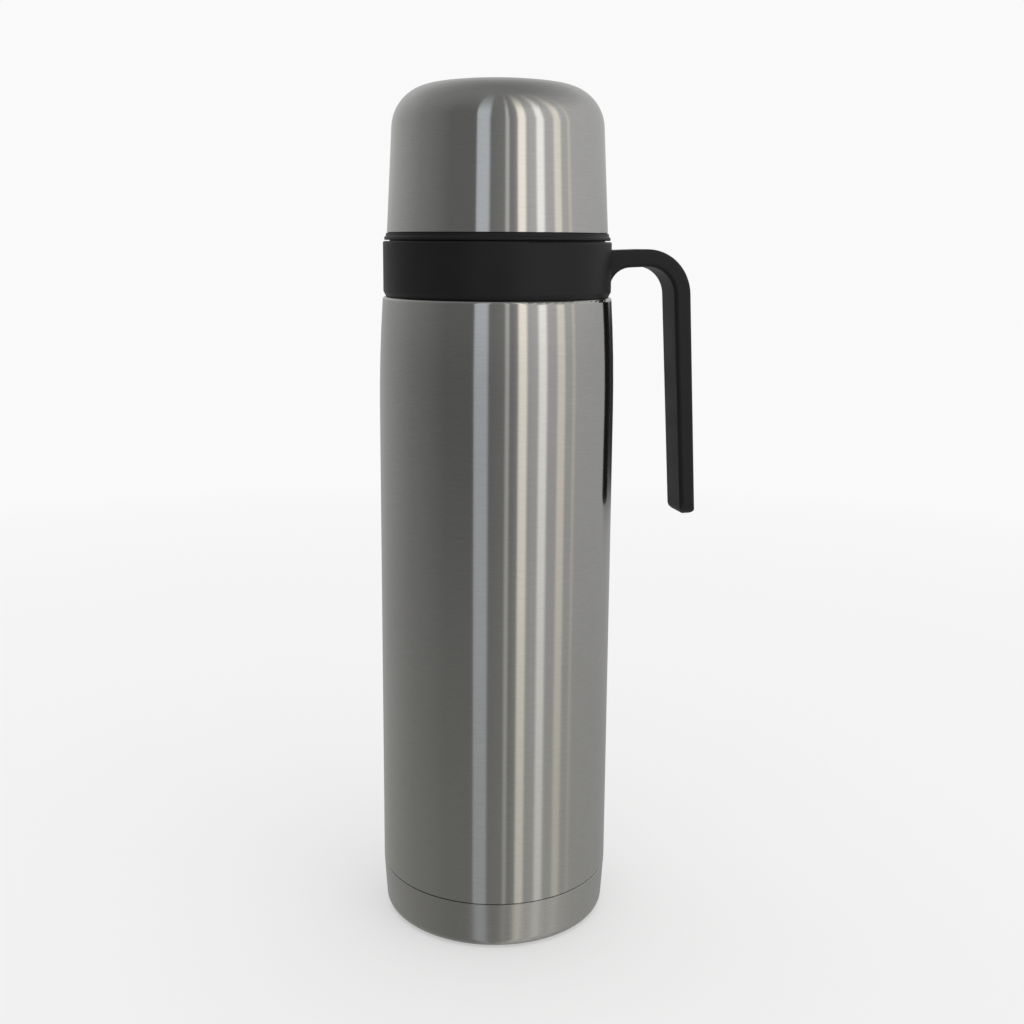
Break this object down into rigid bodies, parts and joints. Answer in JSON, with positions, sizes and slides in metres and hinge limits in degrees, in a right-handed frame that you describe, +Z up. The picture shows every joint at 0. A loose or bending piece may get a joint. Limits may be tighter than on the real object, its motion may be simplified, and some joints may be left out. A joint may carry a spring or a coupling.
{
  "type": "vacuum flask",
  "caption": "Stainless vacuum flask with a domed screw-on cup, push-button pouring stopper, black collar and open one-armed handle.",
  "frame": {"origin": "middle of the foot ring that the flask stands on", "axes": "+Z up along the flask's axis, +X from the axis towards the handle"},
  "size_m": [0.1216, 0.087, 0.3135],
  "materials": {
    "brushed_steel": "brushed",
    "plain_steel": "satin",
    "black_gloss": "moulded, satin gloss",
    "black_matte": "moulded, matt",
    "button_grey": "moulded, matt",
    "silicone": "soft, translucent white",
    "foam": "foamed",
    "foil": "bright foil",
    "getter_metal": "sintered",
    "solder": "bright bead"
  },
  "bodies": {
    "vessel": {"outer_shell": "brushed_steel", "liner_floor": "plain_steel", "liner_tube": "plain_steel", "liner_neck": "plain_steel", "outer_bottom": "plain_steel", "seal_bead": "solder", "getter": "getter_metal", "getter_clip": "plain_steel", "radiation_foil": "foil", "base_cup": "brushed_steel", "collar": "black_gloss", "collar_seal": "silicone"},
    "stopper_lifted": {"stopper_gasket": "silicone"},
    "stopper_raised": {"stopper_foam": "foam"},
    "stopper": {"stopper_body": "black_matte", "stopper_nose": "black_matte", "stopper_cap": "black_matte"},
    "button": {"button": "button_grey", "button_seal": "silicone", "valve_stem": "plain_steel", "valve_seal": "silicone", "button_spring": "plain_steel"},
    "cup_lifted": {"cup_gasket": "silicone"},
    "cup_raised": {"cup_foam": "foam"},
    "cup": {"cup_shell": "brushed_steel", "cup_liner": "black_gloss"}
  },
  "joints": [
    {"name": "stopper_lift", "type": "slide", "parent": "vessel", "child": "stopper_lifted", "axis": [0, 0, 1], "range_m": [0, 0.12]},
    {"name": "stopper_rise", "type": "slide", "parent": "stopper_lifted", "child": "stopper_raised", "axis": [0, 0, 1], "range_m": [0, 0.0061]},
    {"name": "stopper_turn", "type": "hinge", "parent": "stopper_raised", "child": "stopper", "pos_m": [0, 0, 0.2568], "axis": [0, 0, 1], "range_deg": [0, 540]},
    {"name": "button_press", "type": "slide", "parent": "stopper", "child": "button", "axis": [0, 0, 1], "range_m": [-0.0035, 0], "stiffness_N_per_m": 900, "springref_m": 0.002, "deforming": ["button_spring"]},
    {"name": "cup_lift", "type": "slide", "parent": "stopper_lifted", "child": "cup_lifted", "axis": [0, 0, 1], "range_m": [0, 0.12]},
    {"name": "cup_rise", "type": "slide", "parent": "cup_lifted", "child": "cup_raised", "axis": [0, 0, 1], "range_m": [0, 0.0061]},
    {"name": "cup_turn", "type": "hinge", "parent": "cup_raised", "child": "cup", "pos_m": [0, 0, 0.2568], "axis": [0, 0, 1], "range_deg": [0, 540]}
  ],
  "couplings": [
    {"joint": "stopper_rise", "follows": "stopper_turn", "m_per_rad": 0.00063662},
    {"joint": "cup_rise", "follows": "cup_turn", "m_per_rad": 0.00063662}
  ]
}
